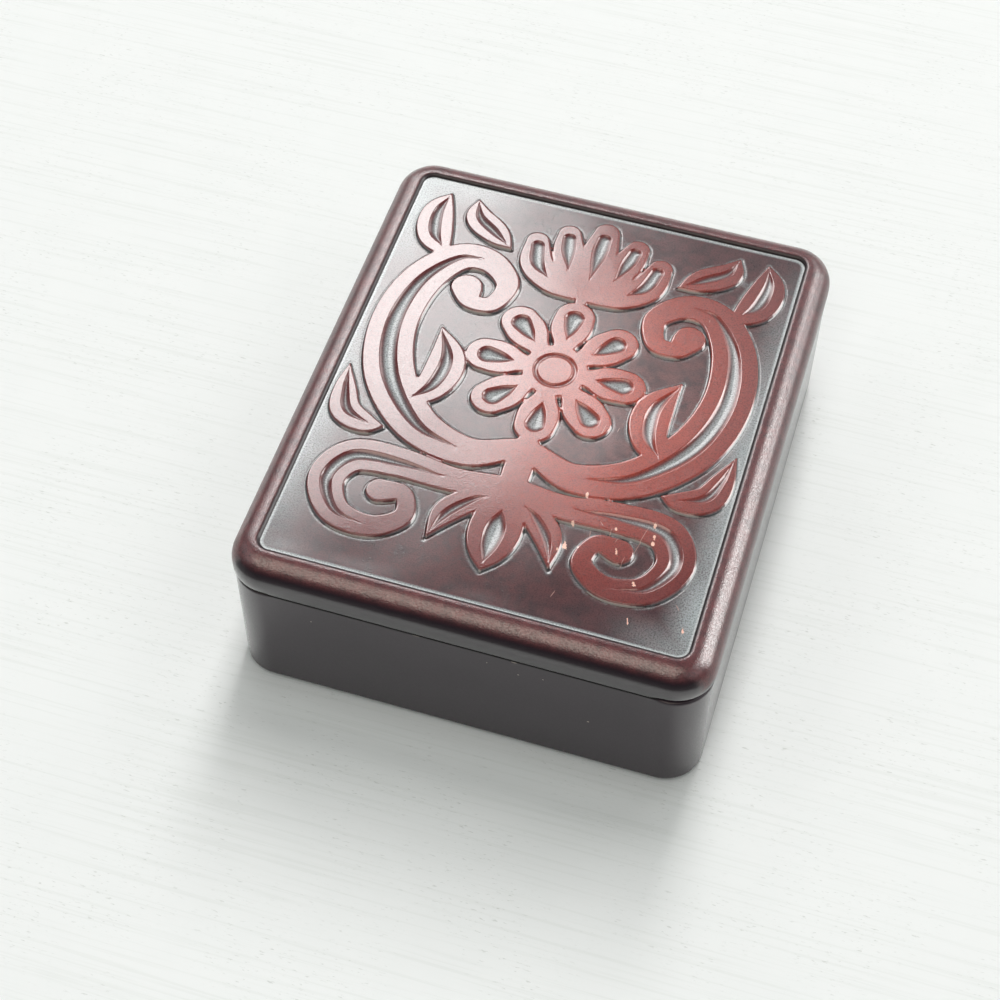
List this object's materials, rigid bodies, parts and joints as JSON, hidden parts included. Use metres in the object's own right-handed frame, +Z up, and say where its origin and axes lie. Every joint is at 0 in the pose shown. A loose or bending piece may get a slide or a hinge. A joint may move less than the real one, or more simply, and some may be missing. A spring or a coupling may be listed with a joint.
{
  "type": "trinket box",
  "caption": "Low keepsake box of cast resin with rounded corners and a lift-off lid, whose sunk field carries a plant ornament in low relief.",
  "frame": {"origin": "middle of the underside, on the surface that the box stands on", "axes": "+Z up, +X to the right and +Y to the back seen from the front; the front is the short side nearest the bud at the foot of the ornament"},
  "size_m": [0.1066, 0.127, 0.0421],
  "materials": {
    "base_resin": "smooth satin cast resin, very dark grey purple",
    "lid_resin": "satin cast resin, maroon brown, rubbed red on the raised parts and greyed in the hollows",
    "velvet": "short dark wine velvet on card",
    "felt": "thin black felt"
  },
  "bodies": {
    "base": {"base_shell": "base_resin", "underside_felt": "felt", "floor_lining": "velvet", "wall_lining": "velvet"},
    "lid": {"lid": "lid_resin", "lid_lining": "velvet"}
  },
  "joints": [
    {"name": "lid_lift", "type": "slide", "parent": "base", "child": "lid", "axis": [0, 0, 1], "range_m": [0, 0.06]}
  ]
}
